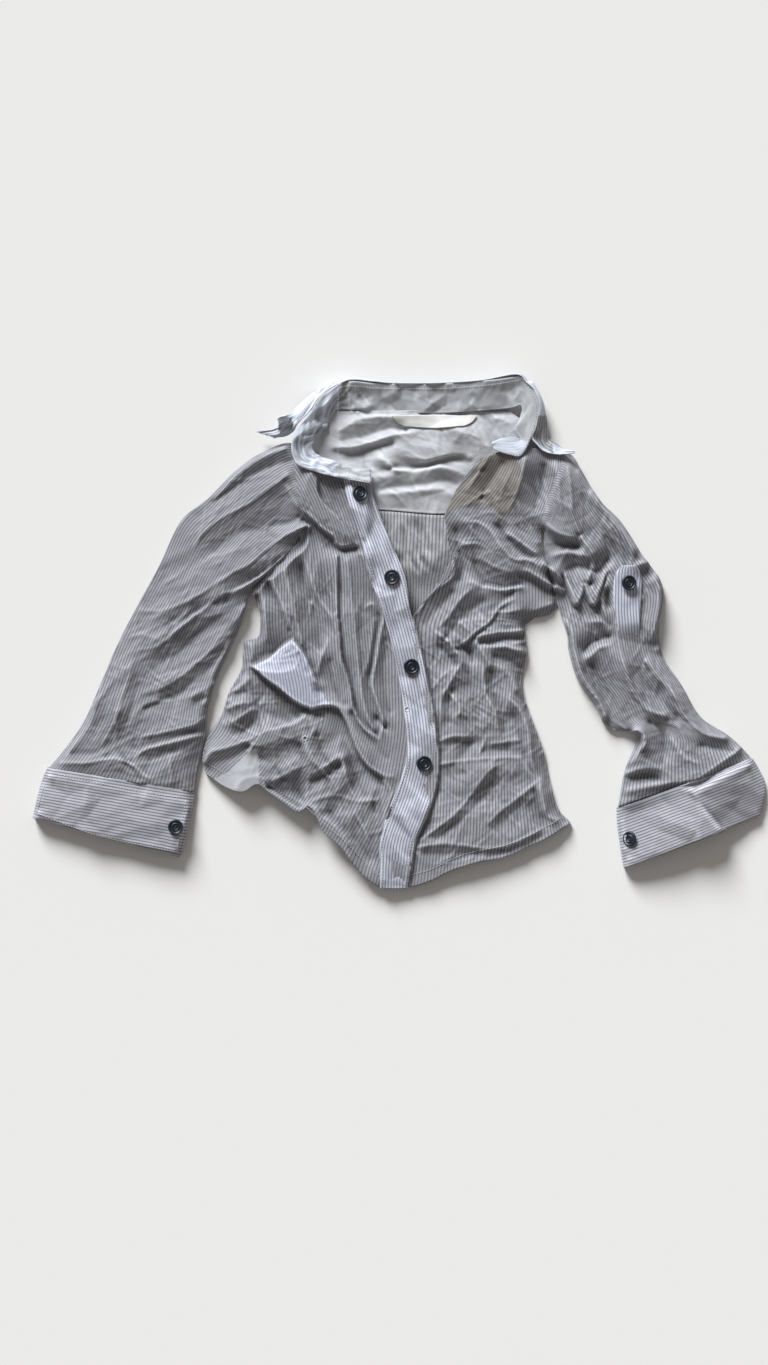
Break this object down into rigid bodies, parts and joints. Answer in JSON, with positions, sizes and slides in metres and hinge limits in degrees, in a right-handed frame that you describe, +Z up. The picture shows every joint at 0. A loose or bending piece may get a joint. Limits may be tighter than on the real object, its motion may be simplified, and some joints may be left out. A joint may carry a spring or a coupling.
{
  "type": "crumpled button-up shirt laid flat",
  "caption": "Crumpled pinstriped cotton button-up shirt laid flat, front open at the neck, with turned-out collar, cuffs and buttons.",
  "frame": {"origin": "on the table surface, under the middle of the laid shirt's bounding box", "axes": "+X to the right of the laid shirt seen from above, +Y towards the collar, +Z up from the table"},
  "size_m": [0.73, 0.5132, 0.0261],
  "materials": {
    "striped_poplin": "woven cotton poplin, white with fine grey-violet pinstripes, crumpled",
    "plain_poplin": "wrong side of the poplin, paler, and fused collar stand",
    "label_satin": "bare woven satin neck label",
    "button_resin": "moulded black polyester button, polished rim"
  },
  "bodies": {
    "root": {"back": "striped_poplin", "back_yoke": "plain_poplin", "front_left": "striped_poplin", "placket": "striped_poplin", "front_right": "striped_poplin", "collar_stand": "plain_poplin", "collar": "striped_poplin", "label": "label_satin", "sleeve_left": "striped_poplin", "cuff_left": "striped_poplin", "sleeve_right": "striped_poplin", "cuff_right": "striped_poplin", "sleeve_tab": "striped_poplin", "button_1": "button_resin", "button_2": "button_resin", "button_3": "button_resin", "button_4": "button_resin", "cuff_button_left": "button_resin", "cuff_button_right": "button_resin", "tab_button": "button_resin"}
  },
  "joints": []
}
